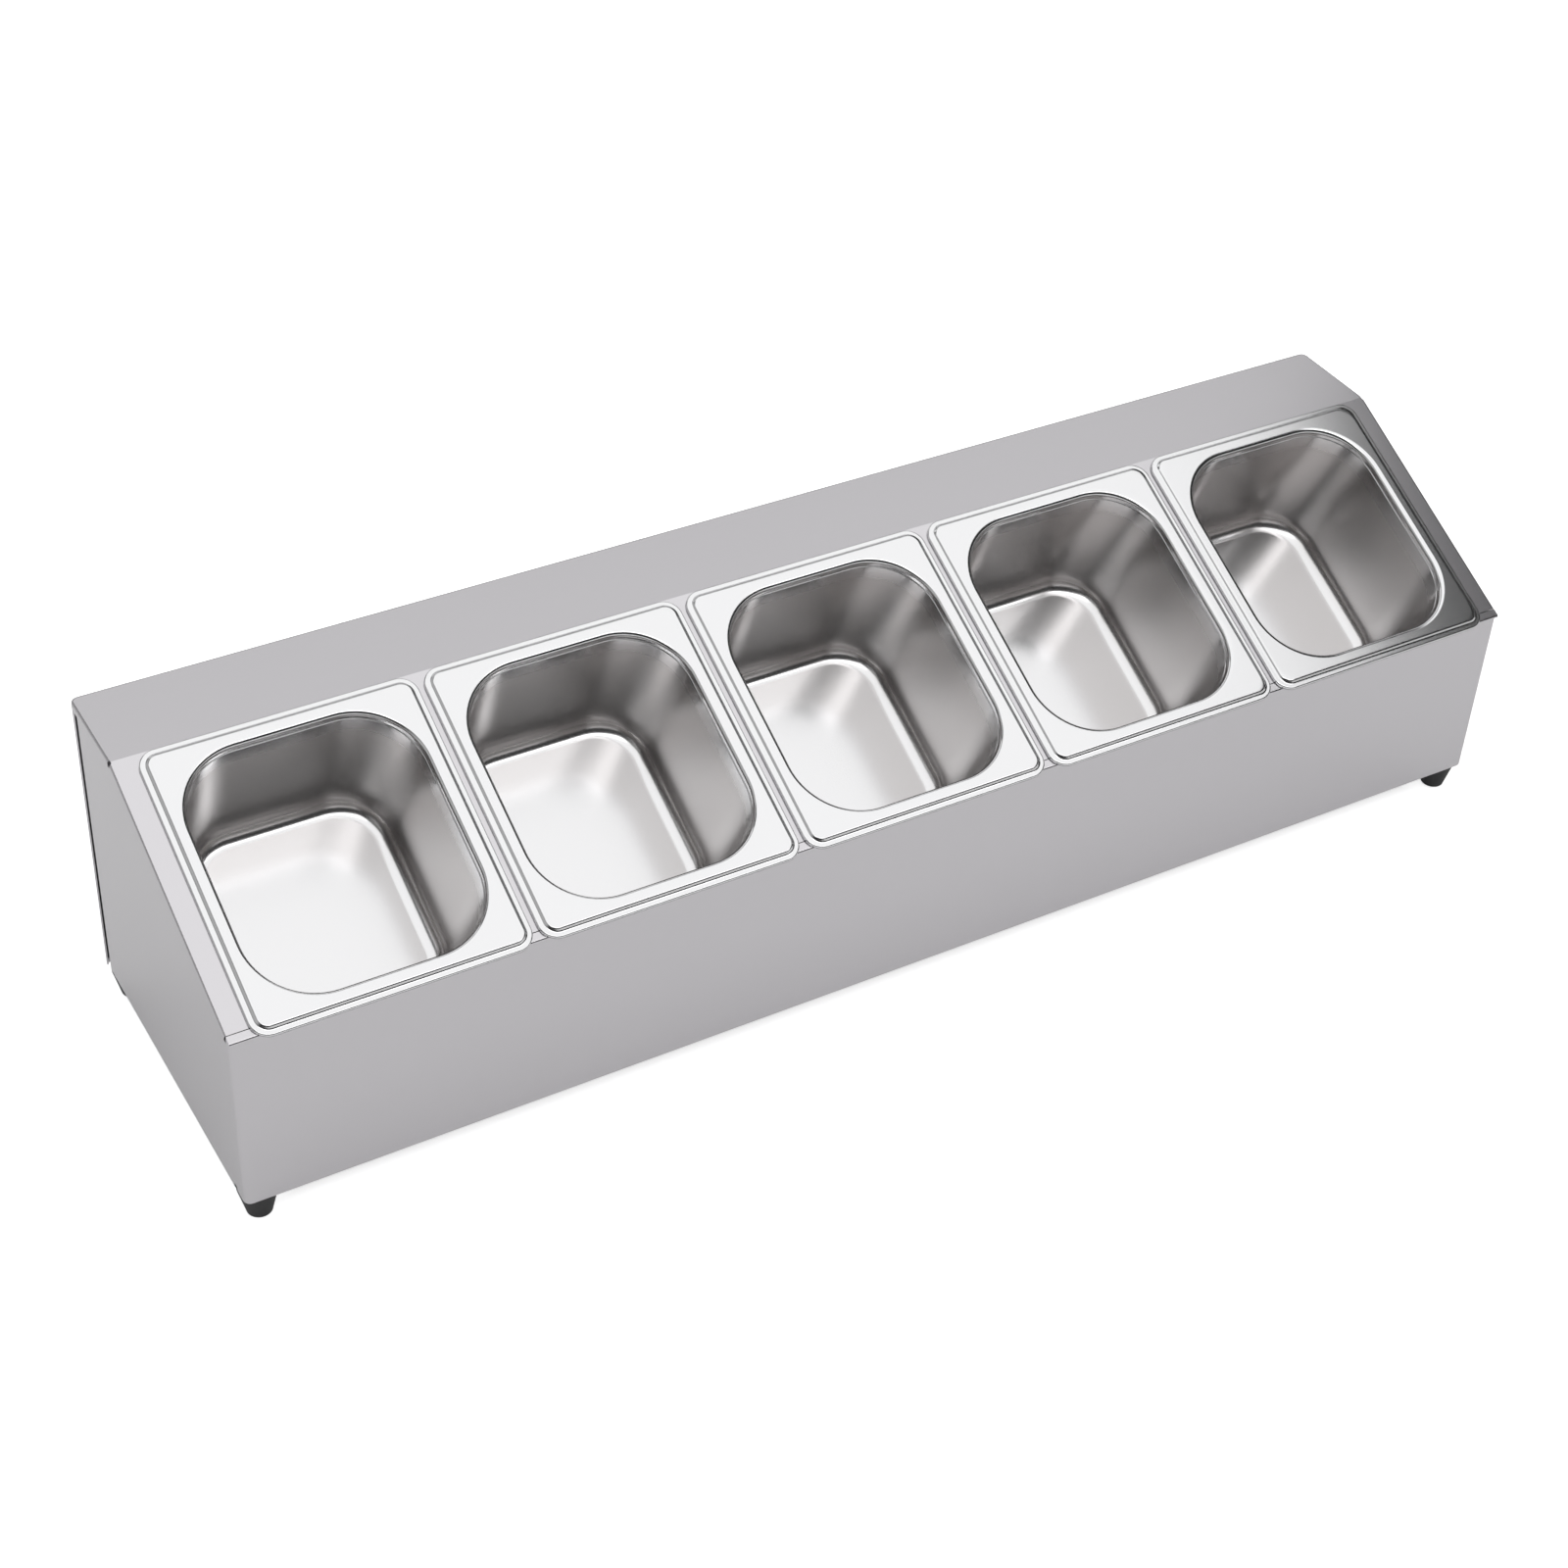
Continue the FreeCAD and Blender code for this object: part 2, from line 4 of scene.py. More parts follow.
import bpy
import numpy as np
from mathutils import Matrix

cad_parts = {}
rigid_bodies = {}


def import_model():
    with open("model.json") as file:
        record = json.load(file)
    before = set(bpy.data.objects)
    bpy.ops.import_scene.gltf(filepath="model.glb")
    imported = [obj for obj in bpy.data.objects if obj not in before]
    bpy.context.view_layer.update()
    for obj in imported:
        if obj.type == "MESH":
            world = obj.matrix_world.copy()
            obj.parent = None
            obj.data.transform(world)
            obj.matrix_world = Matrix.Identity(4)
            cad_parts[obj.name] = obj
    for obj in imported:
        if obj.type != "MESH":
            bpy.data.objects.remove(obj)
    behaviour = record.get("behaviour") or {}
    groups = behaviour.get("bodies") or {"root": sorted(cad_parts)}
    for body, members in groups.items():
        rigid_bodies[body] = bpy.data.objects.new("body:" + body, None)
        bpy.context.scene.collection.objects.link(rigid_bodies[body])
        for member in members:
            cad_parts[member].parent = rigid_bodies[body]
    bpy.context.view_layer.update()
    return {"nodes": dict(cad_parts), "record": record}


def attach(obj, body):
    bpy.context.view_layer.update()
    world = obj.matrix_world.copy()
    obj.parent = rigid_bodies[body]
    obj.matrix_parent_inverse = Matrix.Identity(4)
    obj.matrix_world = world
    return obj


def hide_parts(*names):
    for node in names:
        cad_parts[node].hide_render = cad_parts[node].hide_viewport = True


# Counter box for spices: satin steel casing, five drawn steel pans in its slope, rubber feet.
# Lengths are in millimetres here and metres in Blender. The front faces -Y.

for item in list(bpy.data.objects):
    bpy.data.objects.remove(item)
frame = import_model()
nodes = frame["nodes"]
mm = 0.001
guard = 0.08  # mm of flat kept beside a bend, so that the flat shades as one


# Helpers

def linearOf(hexText):
    # sRGB hex to linear RGBA, by the sRGB curve
    level = np.array([int(hexText[i:i + 2], 16) for i in (1, 3, 5)]) / 255
    linear = np.where(level <= 0.04045, level / 12.92, ((level + 0.055) / 1.055) ** 2.4)
    return (*linear.tolist(), 1.0)


def addNode(tree, kind, inputs=(), **settings):
    # a node with its settings, then its sockets: each gets a value or the socket that feeds it
    node = tree.nodes.new(kind)
    for name, choice in settings.items():
        setattr(node, name, choice)
    for socket, feed in dict(inputs).items():
        if isinstance(feed, bpy.types.NodeSocket):
            tree.links.new(feed, node.inputs[socket])
        else:
            node.inputs[socket].default_value = feed
    return node


def newMaterial(name):
    material = bpy.data.materials.new(name)
    material.use_nodes = True
    material.node_tree.nodes.clear()
    return material, material.node_tree


def roundedLine(corners, steps):
    # a line through corners (x, y, radius), each corner replaced by its tangent arc, with a point
    # just before and after each arc that keeps the flats flat
    points = [np.array(corners[0][:2], float)]
    for before, here, after in zip(corners, corners[1:], corners[2:]):
        p, q, s = (np.array(c[:2], float) for c in (before, here, after))
        inward, onward = (p - q) / np.linalg.norm(p - q), (s - q) / np.linalg.norm(s - q)
        half = math.acos(np.clip(np.dot(inward, onward), -1, 1)) / 2
        reach = here[2] / math.tan(half)
        middle = q + (inward + onward) / np.linalg.norm(inward + onward) * here[2] / math.sin(half)
        first, last = q + inward * reach - middle, q + onward * reach - middle
        sweep = math.atan2(first[0] * last[1] - first[1] * last[0], np.dot(first, last))
        turn = np.linspace(0, sweep, steps + 1)[:, None]
        side = np.array([-first[1], first[0]])
        arc = middle + first * np.cos(turn) + side * np.sin(turn)
        points += [arc[0] + inward * guard, *arc, arc[-1] + onward * guard]
    points.append(np.array(corners[-1][:2], float))
    return np.array(points)


def meshPiece(name, vertices, faces, material, smooth=True):
    mesh = bpy.data.meshes.new(name)
    mesh.from_pydata(vertices.tolist(), [], faces)
    mesh.polygons.foreach_set("use_smooth", np.full(len(mesh.polygons), smooth))
    mesh.materials.append(material)
    mesh.update()
    piece = bpy.data.objects.new(name, mesh)
    bpy.context.scene.collection.objects.link(piece)
    return piece


def ringFaces(rows, columns):
    # quads between neighbouring rings of a surface that closes on itself along each ring
    i, j = np.meshgrid(np.arange(rows - 1), np.arange(columns), indexing="ij")
    k = (j + 1) % columns
    quads = np.stack([i * columns + j, i * columns + k, (i + 1) * columns + k, (i + 1) * columns + j], -1)
    return quads.reshape(-1, 4).tolist()


def poleFaces(ring, columns, pole, flip):
    # triangles from one ring to a single point
    j = np.arange(columns)
    k = (j + 1) % columns
    first, second = (k, j) if flip else (j, k)
    start = ring * columns
    return np.stack([start + first, start + second, np.full(columns, pole)], -1).tolist()


# Steel

steel = {
    "casing": {"colour": "#d0ced1", "stretched": "#d0ced1", "flat": 0.22, "drawn": 0.22, "grain": 0.012,
               "wave": 0.02},
    "pan": {"colour": "#e4e4e5", "stretched": "#d8d5d4", "flat": 0.16, "drawn": 0.29, "grain": 0.008,
            "wave": 0.012},
    "grainWidth": 0.3,     # mm; real satin lines are near 0.1 mm, too fine to show here
    "grainLength": 60.0,   # mm along the rolling direction
    "waveSize": 90.0,      # mm across the slow unevenness of thin sheet
    "waveDepth": 0.01,     # m of bump at full strength
    "endFacing": 0.7,      # share of the normal along X over which a face belongs to an end
}


def makeSteel(name, look, alongEnds):
    # 304 stainless sheet: a metal mirror blurred by fine parallel grain, faintly uneven, and duller
    # where drawing has stretched it
    material, tree = newMaterial(name)
    place = addNode(tree, "ShaderNodeTexCoord").outputs["Object"]
    fine, long = 1000 / steel["grainWidth"], 1000 / steel["grainLength"]

    def grain(scale):
        turned = addNode(tree, "ShaderNodeMapping", {"Vector": place, "Scale": scale}).outputs["Vector"]
        return addNode(tree, "ShaderNodeTexNoise", {"Vector": turned, "Scale": 1.0, "Detail": 2.0,
                                                    "Roughness": 0.6}).outputs["Fac"]
    lines = grain((long, fine, fine))
    if alongEnds:  # on the ends the grain follows the sheet round the corner
        normal = addNode(tree, "ShaderNodeNewGeometry").outputs["Normal"]
        across = addNode(tree, "ShaderNodeSeparateXYZ", {"Vector": normal}).outputs["X"]
        side = addNode(tree, "ShaderNodeMath", {0: across}, operation="ABSOLUTE").outputs[0]
        pick = addNode(tree, "ShaderNodeMath", {0: side, 1: steel["endFacing"]},
                       operation="GREATER_THAN").outputs[0]
        lines = addNode(tree, "ShaderNodeMix", {"Factor": pick, "A": lines,
                                                "B": grain((fine, long, fine))}).outputs["Result"]
    slow = addNode(tree, "ShaderNodeTexNoise", {"Vector": place, "Scale": 1000 / steel["waveSize"],
                                                "Detail": 1.0}).outputs["Fac"]
    drawn = addNode(tree, "ShaderNodeAttribute", attribute_name="drawn").outputs["Fac"]
    dull = addNode(tree, "ShaderNodeMapRange", {"Value": drawn, "To Min": look["flat"] - look["grain"],
                                                "To Max": look["drawn"] - look["grain"]}).outputs[0]
    rough = addNode(tree, "ShaderNodeMath", {0: lines, 1: 2 * look["grain"], 2: dull},
                    operation="MULTIPLY_ADD").outputs[0]
    wavy = addNode(tree, "ShaderNodeBump", {"Strength": look["wave"], "Distance": steel["waveDepth"],
                                            "Height": slow}).outputs["Normal"]
    tint = addNode(tree, "ShaderNodeMix", {0: drawn, 6: linearOf(look["colour"]),
                                           7: linearOf(look["stretched"])}, data_type="RGBA").outputs[2]
    shader = addNode(tree, "ShaderNodeBsdfPrincipled", {"Base Color": tint, "Metallic": 1.0,
                                                        "Roughness": rough, "Normal": wavy})
    addNode(tree, "ShaderNodeOutputMaterial", {"Surface": shader.outputs["BSDF"]})
    return material


casingSteel = makeSteel("satinStainlessSheet", steel["casing"], True)
panSteel = makeSteel("drawnStainlessSheet", steel["pan"], False)


# Rubber and plated steel

rubber = {
    "colour": "#222224", "rough": 0.55, "spread": 0.1,
    "grit": 0.9, "bump": 0.15, "bumpDepth": 0.0003,  # grit in mm, depth in m
}


def makeRubber():
    # moulded black rubber: dull, with a fine matt grit and a faint bloom
    material, tree = newMaterial("mouldedRubber")
    place = addNode(tree, "ShaderNodeTexCoord").outputs["Object"]
    grit = addNode(tree, "ShaderNodeTexNoise", {"Vector": place, "Scale": 1000 / rubber["grit"],
                                                "Detail": 3.0}).outputs["Fac"]
    low, high = rubber["rough"] - rubber["spread"], rubber["rough"] + rubber["spread"]
    rough = addNode(tree, "ShaderNodeMapRange",
                    {"Value": grit, "To Min": low, "To Max": high}).outputs[0]
    bump = addNode(tree, "ShaderNodeBump", {"Strength": rubber["bump"], "Distance": rubber["bumpDepth"],
                                            "Height": grit})
    shader = addNode(tree, "ShaderNodeBsdfPrincipled", {"Base Color": linearOf(rubber["colour"]),
                                                        "Roughness": rough, "IOR": 1.52,
                                                        "Normal": bump.outputs["Normal"]})
    addNode(tree, "ShaderNodeOutputMaterial", {"Surface": shader.outputs["BSDF"]})
    return material


plating = {"colour": "#b9bcc2", "rough": 0.3, "spread": 0.12, "crystal": 1.2}  # crystal in mm


def makePlating():
    # zinc-plated steel: bluish and bright, clouded by fine crystals
    material, tree = newMaterial("zincPlatedSteel")
    place = addNode(tree, "ShaderNodeTexCoord").outputs["Object"]
    cloud = addNode(tree, "ShaderNodeTexNoise", {"Vector": place, "Scale": 1000 / plating["crystal"],
                                                 "Detail": 2.0}).outputs["Fac"]
    low, high = plating["rough"] - plating["spread"], plating["rough"] + plating["spread"]
    rough = addNode(tree, "ShaderNodeMapRange",
                    {"Value": cloud, "To Min": low, "To Max": high}).outputs[0]
    shader = addNode(tree, "ShaderNodeBsdfPrincipled", {"Base Color": linearOf(plating["colour"]),
                                                        "Metallic": 1.0, "Roughness": rough})
    addNode(tree, "ShaderNodeOutputMaterial", {"Surface": shader.outputs["BSDF"]})
    return material


footRubber = makeRubber()
zincSteel = makePlating()
finishes = {"casing_steel": casingSteel, "pan_steel": panSteel, "foot_rubber": footRubber,
            "zinc_steel": zincSteel}
for row in frame["record"]["subparts"]:
    nodes[row["node"]].data.materials[0] = finishes[row["material_slot"]]
print("materials:", ", ".join(finishes))


# Pans

pan = {
    "count": 5, "pitch": 165.8,
    "seat": (0.0, -31.489, 176.19),        # middle of the seat of the middle pan, on the slope
    "slope": math.atan2(74, 157),          # the slope's rise and run
    "sheet": 0.7,
    # inset from the rim's edge, then half width, half length and corner radius of the outline there
    "outline": [(0, 81, 88, 11), (5, 76, 83, 6), (9.2, 71.8, 78.3, 43), (12.2, 68.8, 75.3, 40),
                (20.3, 60.7, 67.2, 31.9), (25.8, 55.2, 62.2, 26.5), (31.6, 49.5, 57.4, 20.5)],
    # inset, height over the slope and bend radius along the section, from the rim's edge to the floor
    "section": [(0, 0.2, 0), (0, 2.22, 0.95), (3.3, 2.22, 1.6), (4.9, 3.9, 1.6), (12.2, 3.9, 3.0),
                (12.3, -1.1, 0.6), (12.75, -1.6, 0.6), (20.25, -90.4, 11.0), (32.4, -90.4, 0)],
    "dullFrom": (-3.0, -91.0), "dullOver": 7.0,  # the stretched wall, and how softly it begins
    "rimEdge": (0.1, 0.6),                 # insets of the rings that close the rim's raw edge
    "floorRings": (35.0, 39.0), "middle": 40.0,  # insets of the floor's last rings and its middle
    "arcSteps": 8, "cornerSteps": 20, "sideSteps": 12, "wallSteps": 7,
}


def roundedPath():
    # one turn round a rounded rectangle: place of each point as shares of the flat sides, and its
    # outward direction
    corner = np.linspace(0, math.pi / 2, pan["cornerSteps"] + 1)
    along = np.linspace(0, 1, pan["sideSteps"] + 1)[1:-1]
    flatX, flatY, angle = [], [], []
    signs = [(1, 1), (-1, 1), (-1, -1), (1, -1)]
    for quarter, (sx, sy) in enumerate(signs):
        nx, ny = signs[(quarter + 1) % 4]
        flatX += [np.full(corner.size, sx), sx + (nx - sx) * along]
        flatY += [np.full(corner.size, sy), sy + (ny - sy) * along]
        angle += [corner + quarter * math.pi / 2, np.full(along.size, (quarter + 1) * math.pi / 2)]
    angle = np.concatenate(angle)
    return np.concatenate(flatX), np.concatenate(flatY), np.cos(angle), np.sin(angle)


def panSurface(section):
    # carries the section round the rim: each section point becomes a ring on the outline at its inset
    flatX, flatY, outX, outY = roundedPath()
    inset, height = section[:, 0:1], section[:, 1:2]
    table = np.array(pan["outline"], float)
    width, length, corner = (np.interp(inset, table[:, 0], table[:, k]) for k in (1, 2, 3))
    middle = pan["middle"]
    shrink = np.clip((middle - inset) / (middle - table[-1, 0]), 0, 1)  # the floor closes on its middle
    width, length, corner = width * shrink, length * shrink, corner * shrink
    x = (width - corner) * flatX + corner * outX
    y = (length - corner) * flatY + corner * outY
    return np.stack([x, y, np.broadcast_to(height, x.shape)], -1)


def onSlope(points, number):
    # from the pan's own axes to the box: tipped by the slope and moved to its place in the row
    c, s = math.cos(pan["slope"]), math.sin(pan["slope"])
    turn = np.array([[1, 0, 0], [0, c, -s], [0, s, c]])
    seat = np.array(pan["seat"]) + [(number - (pan["count"] + 1) / 2) * pan["pitch"], 0, 0]
    return (points @ turn.T + seat) * mm


def makePan(number):
    # the section's inside, its outside one sheet away, and both closed at the rim and on the floor
    upper = roundedLine(pan["section"], pan["arcSteps"])
    wall = np.linspace(0, 1, pan["wallSteps"] + 1)[1:-1, None]
    gap = int(np.argmax(np.linalg.norm(np.diff(upper, axis=0), axis=1)))
    upper = np.insert(upper, gap + 1, upper[gap] + (upper[gap + 1] - upper[gap]) * wall, axis=0)
    along = np.gradient(upper, axis=0)
    normal = np.stack([along[:, 1], -along[:, 0]], -1) / np.linalg.norm(along, axis=1)[:, None]
    normal[0] = (1, 0)
    lower = upper + normal * pan["sheet"]
    lower[0, 1] = upper[0, 1]
    centre = np.array([[inset, upper[-1, 1]] for inset in pan["floorRings"]])
    inside = np.concatenate([upper, centre])
    outside = np.concatenate([lower, centre - [0, pan["sheet"]]])
    rim = np.array([[inset, upper[0, 1]] for inset in pan["rimEdge"]])
    rings = panSurface(np.concatenate([outside[::-1], rim[::-1], inside]))
    rows, columns = rings.shape[:2]
    poles = np.array([[0, 0, outside[-1, 1]], [0, 0, inside[-1, 1]]])
    vertices = np.concatenate([rings.reshape(-1, 3), poles])
    faces = ringFaces(rows, columns)
    faces += poleFaces(0, columns, rows * columns, True)
    faces += poleFaces(rows - 1, columns, rows * columns + 1, False)
    name = "pan_%d" % number
    piece = meshPiece("drawnPan%d" % number, onSlope(vertices, number), faces, panSteel)
    top, bottom = pan["dullFrom"]
    share = np.minimum(top - vertices[:, 2], vertices[:, 2] - bottom) / pan["dullOver"]
    drawn = piece.data.attributes.new("drawn", "FLOAT", "POINT")
    drawn.data.foreach_set("value", np.clip(share, 0, 1))
    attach(piece, name + "_lift")
    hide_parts(name)
    return piece


pans = [makePan(number) for number in range(1, pan["count"] + 1)]
print("pans:", len(pans), "with", len(pans[0].data.polygons), "faces each")


# Casing

casing = {
    "length": 852.0, "front": -108.2704, "rear": 111.7296,
    "bottom": 19.0, "shelfHeight": 214.0, "frontHeight": 140.0, "shelf": 63.0, "sheet": 1.0,
    "fold": 1.5,                           # outside radius of the cover's folds and the front's top
    "lip": 5.0, "slit": 3.0, "seam": 0.5,  # the cover's end lips, the slit between them, the gap below
    "rearCorner": 4.5, "rearLip": 3.4, "rearGap": 6.2,  # the back's turned edge, and the gap to the end
    "frontReturn": 5.0, "returnEnd": 0.6,  # the strip of the front that lies on the slope
    # the wrap's front corners seen from above, how far their top stays under the slope, and the least
    # radius that an inset leaves of any corner
    "frontCorner": 4.5, "cornerDrop": 1.3, "leastCorner": 0.05,
    "proud": 0.6,                          # how far the lips stand out from the end walls
    "bottomBend": 1.3, "flange": 24.0, "flangeEnd": 5.0,
    "notch": (14.0, 3.6, 4.0),             # relief low on each end: place, width and height
    "cutOut": (70.8, 77.3, 42.0),          # half width, half length and corner of a pan's cut-out
    "cutShift": 1.9,                       # how far the cut-outs lie below the slope's middle
    "lipStep": 0.3, "apart": (0.6, 0.2),   # small steps that keep the wall's columns in order
    "steps": 6, "sharp": 30.0,             # degrees over which an edge shades as an edge
}
halfLength = casing["length"] / 2
creaseY = casing["rear"] - casing["shelf"]
slopeRun, slopeRise = creaseY - casing["front"], casing["shelfHeight"] - casing["frontHeight"]
slopeLength = math.hypot(slopeRun, slopeRise)
down = np.array([0, -slopeRun, -slopeRise]) / slopeLength
out = np.array([0, -slopeRise, slopeRun]) / slopeLength
coverEnd = slopeLength - casing["frontReturn"] - casing["seam"]
creaseLean = math.tan(math.atan2(slopeRise, slopeRun) / 2)  # how fast the slit leans with depth


def gridFaces(rows, columns, flip=False):
    # quads of an open grid
    i, j = np.meshgrid(np.arange(rows - 1), np.arange(columns - 1), indexing="ij")
    near, far = i * columns + j, (i + 1) * columns + j
    quads = np.stack([near, near + 1, far + 1, far], -1)
    return quads.reshape(-1, 4)[:, ::-1 if flip else 1].tolist()


def grid(points, flip=False):
    return points.reshape(-1, 3), gridFaces(*points.shape[:2], flip)


def foldProfile(radius, depth):
    # inset from the outer face and depth below the top along a turned-down edge: a flat, a quarter
    # circle and the lip
    turn = np.linspace(0, math.pi / 2, casing["steps"] + 1)
    inset, drop = radius * (1 - np.sin(turn)), radius * (1 - np.cos(turn))
    return (np.concatenate([[radius + guard], inset, [0, 0]]),
            np.concatenate([[0], drop, [radius + guard, depth]]))


def sheetPiece(name, groups, node):
    # one bent sheet: surfaces of a group join where they share points, and Solidify adds the thickness
    points, faces = [], []
    for group in groups:
        place = np.round(np.concatenate([part[0] for part in group]), 4)
        joined, index = np.unique(place, axis=0, return_inverse=True)
        index = index.ravel() + sum(len(p) for p in points)
        start = 0
        for part in group:
            faces += [list(dict.fromkeys(index[start + np.array(face)].tolist())) for face in part[1]]
            start += len(part[0])
        points.append(joined)
    faces = [face for face in faces if len(face) > 2]
    piece = meshPiece(name, np.concatenate(points) * mm, faces, casingSteel)
    thick = piece.modifiers.new("thickness", "SOLIDIFY")
    thick.thickness, thick.offset = casing["sheet"] * mm, -1.0
    graph = bpy.context.evaluated_depsgraph_get()
    solid = bpy.data.meshes.new_from_object(piece.evaluated_get(graph))
    piece.modifiers.clear()
    piece.data = solid
    solid.set_sharp_from_angle(angle=math.radians(casing["sharp"]))
    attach(piece, "casing")
    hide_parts(node)
    return piece


def planPath(half, ends, turn, corner, inset):
    # seen from above: along one end, round its corner, along the long side and back along the other end
    side = turn - math.copysign(inset, turn)
    radius = max(corner - inset, casing["leastCorner"])
    half = half - inset
    return roundedLine([(-half, ends, 0), (-half, side, radius), (half, side, radius), (half, ends, 0)],
                       casing["steps"])


def shelfAndBack():
    # the shelf with its rounded rear corners, its end lips, and the back below it
    insets, drops = foldProfile(casing["fold"], casing["lip"])
    rows = []
    for inset, drop in zip(insets, drops):
        end = creaseY + (casing["slit"] / 2 + drop * creaseLean if drop > 0 else 0)
        plan = planPath(halfLength, end, casing["rear"], casing["rearCorner"], inset)
        rows.append(np.column_stack([plan, np.full(len(plan), casing["shelfHeight"] - drop)]))
    rows = np.array(rows)
    top = (rows[0], [list(range(rows.shape[1]))[::-1]])
    behind = rows[-1][rows[-1][:, 1] > casing["rear"] - casing["rearLip"]]
    foot = behind * [1, 1, 0] + [0, 0, casing["bottom"]]
    back = grid(np.array([behind, foot]))
    wide, deep = halfLength - casing["flangeEnd"], casing["rear"] - casing["flange"]
    rear, bottom = casing["rear"], casing["bottom"]
    flange = np.array([[[-wide, rear, bottom], [wide, rear, bottom]],
                       [[-wide, deep, bottom], [wide, deep, bottom]]])
    return [[grid(rows), top, back], [grid(flange)]]


def onCover(x, along, depth):
    # a place on the slope: along it from the crease, and in from its face
    start = np.array([0, creaseY, casing["shelfHeight"]])
    x, along, depth = np.broadcast_arrays(x, along, depth)
    return start + x[..., None] * [1, 0, 0] + along[..., None] * down - depth[..., None] * out


def slopeSheet():
    # five cells round the cut-outs, then a margin with its lip at each end
    flatX, flatY, outX, outY = roundedPath()
    wide, long, corner = casing["cutOut"]
    middle = slopeLength / 2 + casing["cutShift"]
    holeX, holeY = (wide - corner) * flatX + corner * outX, (long - corner) * flatY + corner * outY
    parts = []
    for number in range(pan["count"]):
        x = (number - (pan["count"] - 1) / 2) * pan["pitch"]
        edge = onCover(x + pan["pitch"] / 2 * flatX, coverEnd / 2 * (1 - flatY), 0.0)
        hole = onCover(x + holeX, middle - holeY, 0.0)
        ring = np.array([edge, hole])
        parts.append((ring.reshape(-1, 3), ringFaces(2, flatX.size)))
    insets, drops = foldProfile(casing["fold"], casing["lip"])
    inner = pan["count"] * pan["pitch"] / 2
    x = np.concatenate([[inner], halfLength - insets])[:, None]
    depth = np.concatenate([[0], drops])[:, None]
    share = np.linspace(0, 1, pan["sideSteps"] + 1)[None, :]
    begin = np.where(depth > 0, casing["slit"] / 2 + depth * creaseLean, 0)
    along = begin + (coverEnd - begin) * share
    parts += [grid(onCover(x, along, depth)), grid(onCover(-x, along, depth), True)]
    return parts


def wrapSheet():
    # end walls and front in one, with inward flanges along the bottom and the front bent back
    turn = np.linspace(0, math.pi / 2, casing["steps"] + 1)
    bend, front, step = casing["bottomBend"], casing["front"], casing["lipStep"]
    insets = np.concatenate([[casing["flange"], bend + guard], bend * (1 - np.sin(turn)), [0, 0, 0]])
    lifts = np.concatenate([[0, 0], bend * (1 - np.cos(turn)), [bend + guard, casing["notch"][2], 0]])
    half = halfLength - casing["proud"]
    wallRear = casing["rear"] - casing["rearLip"] - casing["rearGap"]
    lipEnd = front + (slopeLength - coverEnd) * slopeRun / slopeLength
    under = casing["lip"] + casing["seam"]
    kneeY = creaseY + under * creaseLean
    place, width, _ = casing["notch"]
    extra = np.array([kneeY, front + place + width / 2, front + place - width / 2, lipEnd + step, lipEnd])
    apart = np.linspace(*casing["apart"], extra.size)
    rows = []
    for inset, lift in zip(insets, lifts):
        plan = planPath(half, wallRear, front, casing["frontCorner"], inset)
        corner = front + max(casing["frontCorner"], inset)
        left = np.column_stack([np.full(extra.size, -half + inset), np.maximum(extra, corner + apart)])
        plan = np.concatenate([plan[:1], left, plan[1:-1], left[::-1] * [-1, 1], plan[-1:]])
        rows.append(np.column_stack([plan, np.full(len(plan), casing["bottom"] + lift)]))
    rows = np.array(rows)
    # the top edge follows the cover's lips, and at the front stays just under the slope
    y = rows[-1][:, 1]
    slope = casing["shelfHeight"] - (creaseY - y) * slopeRise / slopeRun
    lowered = np.minimum(casing["shelfHeight"] - under, slope - under * slopeLength / slopeRun)
    rows[-1][:, 2] = np.where(y < lipEnd + step / 3, slope - casing["cornerDrop"], lowered)
    top = casing["frontHeight"]
    foldAt = top - casing["cornerDrop"]
    rows[-1][np.isclose(y, front), 2] = foldAt
    back, up = (casing["frontReturn"] * part / slopeLength for part in (slopeRun, slopeRise))
    bent = roundedLine([(front, foldAt, 0), (front, top, casing["fold"]), (front + back, top + up, 0)],
                       casing["steps"])
    reach = halfLength - casing["returnEnd"]
    strip = np.array([np.column_stack([np.full(len(bent), x), bent]) for x in (-reach, reach)])
    # the relief leaves out one column of faces at each end, from the flange up to the relief's height
    points, faces = grid(rows)
    across = rows.shape[1] - 1
    relief = [i * across + j for i in range(1, len(rows) - 2) for j in (2, across - 3)]
    faces = [face for number, face in enumerate(faces) if number not in relief]
    return [[(points, faces)], [grid(strip, True)]]


cover = sheetPiece("coverSheet", shelfAndBack() + [slopeSheet()], "top_cover")
wrap = sheetPiece("wrapSheet", wrapSheet(), "body_shell")
print("casing:", len(cover.data.polygons), "and", len(wrap.data.polygons), "faces")


# Floor, light and camera

studio = {
    "floor": "#f2f2f2", "floorSize": 9.0,
    "floorSeen": 0.8, "floorMirrored": 0.13,  # light added to the floor in the picture and in metal
    "paintedShadowUnderBox": (0.36, 0.06, 0.04),           # half sizes of the painted shadow under the box, where the floor's glow fades out, and its edge
    "camera": (-754.6, -1157.5, 1193.9),
    "right": (0.8662, -0.4977, 0.0450), "up": (0.2832, 0.5631, 0.7764),
    "back": (-0.4118, -0.6597, 0.6286),
    "lens": 66.71, "sensor": 36.0,
    "fill": 0.03, "walls": 0.45,
    # height and depth shares of a direction, and how much higher the walls reach on the left
    "wallTop": (0.3, 0.5), "wallFrom": (-0.6, -0.1), "wallTilt": 0.4,
    # name: middle, what it faces, width, depth, and brightness of its face, where 1 is white
    "lamps": {
        "overhead": ((0.0, -0.05, 1.75), (0.0, -0.05, 0.0), 3.0, 1.9, 1.13),
        "overFront": ((0.0, -1.37, 1.75), (0.0, -1.37, 0.0), 3.0, 0.74, 2.3),
        "behind": ((0.78, 2.0, 1.95), (0.78, 0.0, 1.95), 3.2, 1.3, 0.87),
    },
}


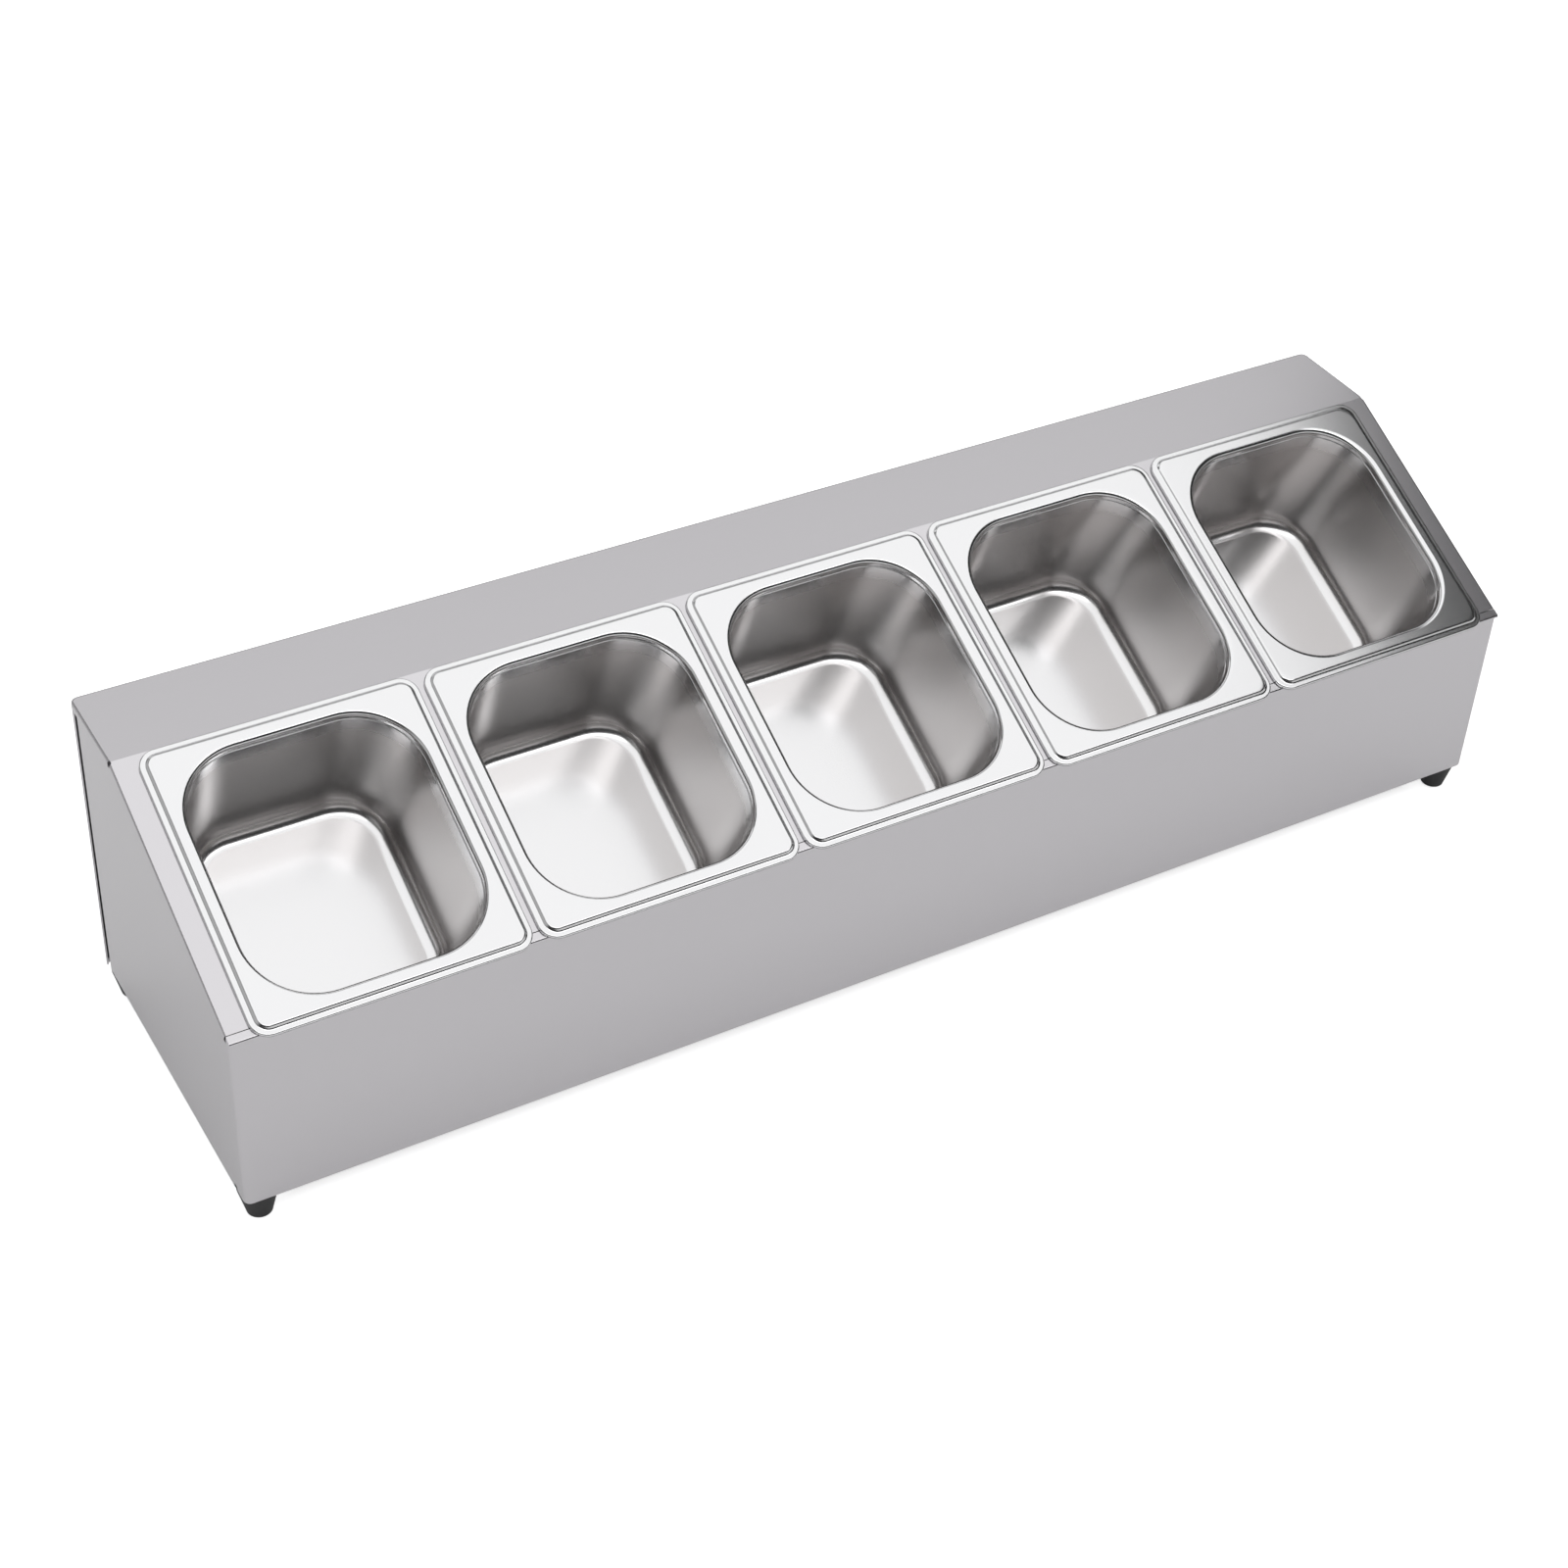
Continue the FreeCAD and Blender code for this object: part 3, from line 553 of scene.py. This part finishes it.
def makeFloor():
    # matt white sweep that keeps the shadow; the camera sees it lifted to white and the metal sees it
    # lifted a little, but not under the box, where the lift is faded out as a painted shadow where no
    # light gets in
    material, tree = newMaterial("whiteSweep")
    rays = addNode(tree, "ShaderNodeLightPath").outputs
    inMetal = addNode(tree, "ShaderNodeMath", {0: rays["Is Glossy Ray"], 1: rays["Is Transmission Ray"]},
                      operation="MAXIMUM").outputs[0]
    mirrored = addNode(tree, "ShaderNodeMath", {0: inMetal, 1: studio["floorMirrored"]},
                       operation="MULTIPLY")
    lift = addNode(tree, "ShaderNodeMath", {0: rays["Is Camera Ray"], 1: studio["floorSeen"],
                                            2: mirrored.outputs[0]}, operation="MULTIPLY_ADD")
    # painted shadow: the glow is faded out over a rectangle under the box, so that the floor there
    # renders dark
    halfX, halfY, soft = studio["paintedShadowUnderBox"]
    place = addNode(tree, "ShaderNodeTexCoord").outputs["Object"]
    reach = addNode(tree, "ShaderNodeVectorMath", {0: place}, operation="ABSOLUTE").outputs[0]
    past = addNode(tree, "ShaderNodeVectorMath", {0: reach, 1: (halfX, halfY, 0)}, operation="SUBTRACT")
    sides = addNode(tree, "ShaderNodeSeparateXYZ", {"Vector": past.outputs[0]}).outputs
    outside = addNode(tree, "ShaderNodeMath", {0: sides["X"], 1: sides["Y"]}, operation="MAXIMUM")
    clear = addNode(tree, "ShaderNodeMapRange", {"Value": outside.outputs[0], "From Max": soft},
                    interpolation_type="SMOOTHSTEP")
    strength = addNode(tree, "ShaderNodeMath", {0: lift.outputs[0], 1: clear.outputs[0]},
                       operation="MULTIPLY")
    glow = addNode(tree, "ShaderNodeEmission", {"Strength": strength.outputs[0]})
    matt = addNode(tree, "ShaderNodeBsdfDiffuse", {"Color": linearOf(studio["floor"])})
    both = addNode(tree, "ShaderNodeAddShader", {0: matt.outputs[0], 1: glow.outputs[0]})
    addNode(tree, "ShaderNodeOutputMaterial", {"Surface": both.outputs[0]})
    half = studio["floorSize"] / 2
    corners = np.array([[-half, -half, 0], [half, -half, 0], [half, half, 0], [-half, half, 0]])
    floor = meshPiece("floor", corners, [[0, 1, 2, 3]], material, smooth=False)


def aimed(place, target):
    # a turn that points -Z from place to target, with X kept level; straight down keeps X as it is
    back = np.array(place, float) - np.array(target, float)
    back /= np.linalg.norm(back)
    right = np.cross([0, 0, 1], back) if abs(back[2]) < 0.999 else np.array([1.0, 0, 0])
    right /= np.linalg.norm(right)
    up = np.cross(back, right)
    return Matrix([[*row, p] for row, p in zip(np.stack([right, up, back], 1), place)] + [[0, 0, 0, 1]])


def makeLights():
    for name, (place, target, width, depth, brightness) in studio["lamps"].items():
        lamp = bpy.data.lights.new(name, "AREA")
        lamp.shape = "RECTANGLE"
        lamp.size, lamp.size_y = width, depth
        lamp.energy = math.pi * width * depth * brightness
        holder = bpy.data.objects.new(name, lamp)
        holder.matrix_world = aimed(place, target)
        bpy.context.scene.collection.objects.link(holder)
    world = bpy.data.worlds.new("studio")
    bpy.context.scene.world = world
    world.use_nodes = True
    tree = world.node_tree
    tree.nodes.clear()
    # the room: faint light all round, pale walls low down beside and behind the box for the steel to
    # mirror, and white to the camera
    toward = addNode(tree, "ShaderNodeSeparateXYZ",
                     {"Vector": addNode(tree, "ShaderNodeTexCoord").outputs["Generated"]}).outputs
    low, high = studio["wallTop"]
    height = addNode(tree, "ShaderNodeMath", {0: toward["X"], 1: studio["wallTilt"], 2: toward["Z"]},
                     operation="MULTIPLY_ADD").outputs[0]
    below = addNode(tree, "ShaderNodeMapRange", {"Value": height, "From Min": high, "From Max": low},
                    interpolation_type="SMOOTHSTEP").outputs[0]
    front, side = studio["wallFrom"]
    rearward = toward["Y"]
    aside = addNode(tree, "ShaderNodeMapRange", {"Value": rearward, "From Min": front, "From Max": side},
                    interpolation_type="SMOOTHSTEP").outputs[0]
    walls = addNode(tree, "ShaderNodeMath", {0: below, 1: aside}, operation="MULTIPLY").outputs[0]
    light = addNode(tree, "ShaderNodeMath", {0: walls, 1: studio["walls"], 2: studio["fill"]},
                    operation="MULTIPLY_ADD").outputs[0]
    seen = addNode(tree, "ShaderNodeLightPath").outputs["Is Camera Ray"]
    level = addNode(tree, "ShaderNodeMath", {0: seen, 1: light}, operation="MAXIMUM").outputs[0]
    room = addNode(tree, "ShaderNodeBackground", {"Color": (1, 1, 1, 1), "Strength": level})
    addNode(tree, "ShaderNodeOutputWorld", {"Surface": room.outputs[0]})


def makeCamera():
    lens = bpy.data.cameras.new("camera")
    lens.lens, lens.sensor_width, lens.sensor_fit = studio["lens"], studio["sensor"], "HORIZONTAL"
    camera = bpy.data.objects.new("camera", lens)
    axes = np.stack([studio["right"], studio["up"], studio["back"]], 1)
    place = np.array(studio["camera"]) * mm
    camera.matrix_world = Matrix([[*row, p] for row, p in zip(axes, place)] + [[0, 0, 0, 1]])
    bpy.context.scene.collection.objects.link(camera)
    bpy.context.scene.camera = camera


makeFloor()
makeLights()
makeCamera()
bpy.context.scene.view_settings.view_transform = "Standard"
print("studio: floor,", len(studio["lamps"]), "lamps, camera")
